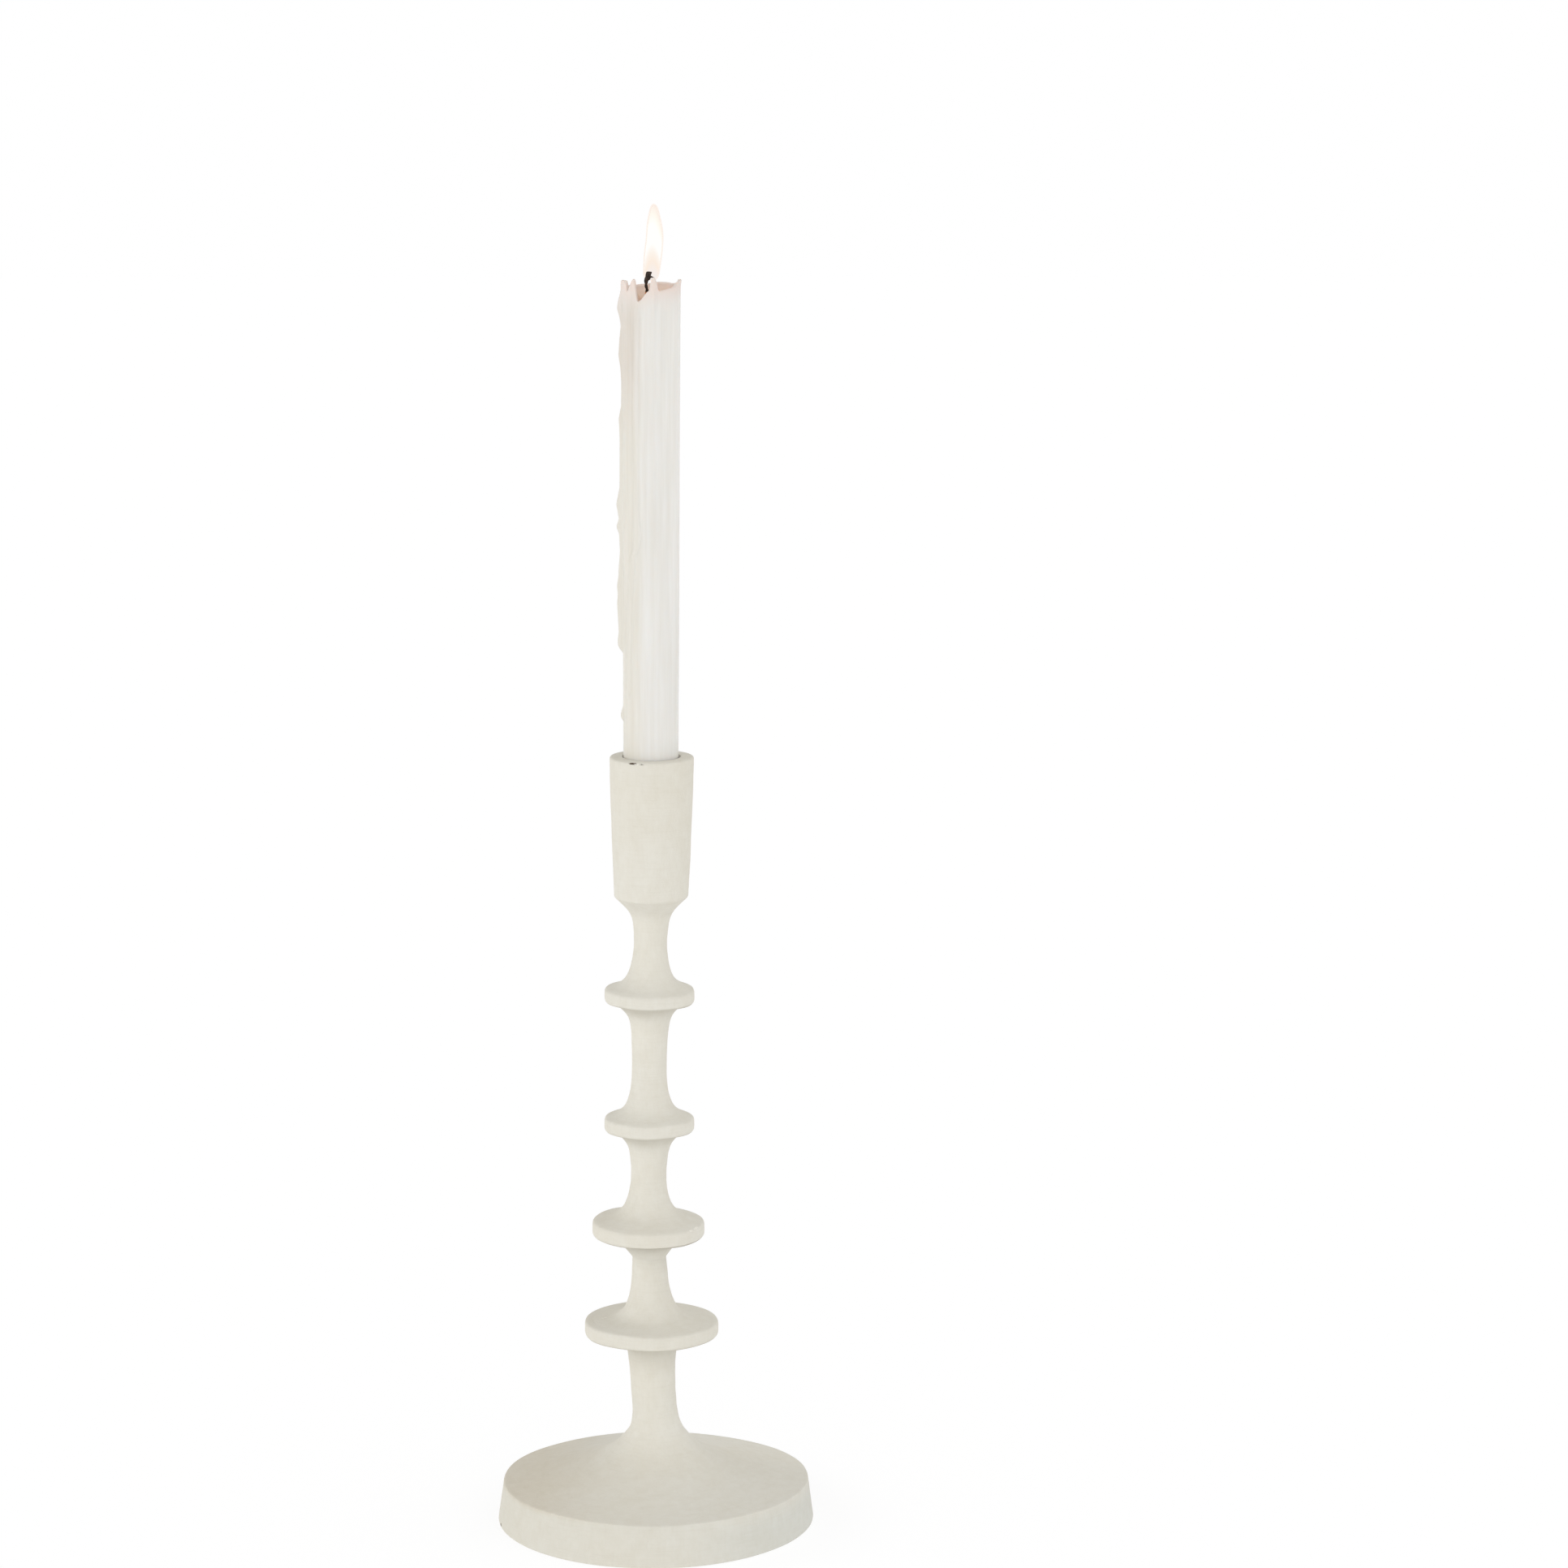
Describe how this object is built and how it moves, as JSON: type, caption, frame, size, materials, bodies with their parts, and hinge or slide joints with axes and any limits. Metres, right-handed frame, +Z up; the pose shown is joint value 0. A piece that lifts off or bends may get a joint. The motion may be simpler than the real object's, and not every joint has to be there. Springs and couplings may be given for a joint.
{
  "type": "candlestick",
  "caption": "Turned wooden candlestick with a wide dished base, a stem of stacked collars, a tapered cup and a dripping dinner candle.",
  "frame": {"origin": "middle of the base's underside, on the table", "axes": "+Z up along the stem, -Y towards the front of the picture, +X to its right"},
  "size_m": [0.127, 0.127, 0.5041],
  "materials": {
    "gesso_wood": "turned wood under a chalky off-white gesso coat, matte",
    "liner_steel": "thin drawn steel, satin",
    "fastener_steel": "zinc plated steel",
    "felt": "dark brown wool felt",
    "wax": "off-white candle wax, translucent, soft sheen",
    "wick": "burnt cotton wick"
  },
  "bodies": {
    "candlestick": {"base": "gesso_wood", "spool_1": "gesso_wood", "spool_2": "gesso_wood", "spool_3": "gesso_wood", "spool_4": "gesso_wood", "spool_5": "gesso_wood", "disc_1": "gesso_wood", "disc_2": "gesso_wood", "disc_3": "gesso_wood", "disc_4": "gesso_wood", "cup": "gesso_wood", "cup_liner": "liner_steel", "rod_insert": "fastener_steel", "tie_rod": "fastener_steel", "rod_nut": "fastener_steel", "rod_washer": "fastener_steel", "felt_pad": "felt"},
    "candle": {"candle": "wax", "candle_wick": "wick", "wax_drips": "wax"}
  },
  "joints": [
    {"name": "candle_lift", "type": "slide", "parent": "candlestick", "child": "candle", "axis": [0, 0, 1], "range_m": [0, 0.06]}
  ]
}
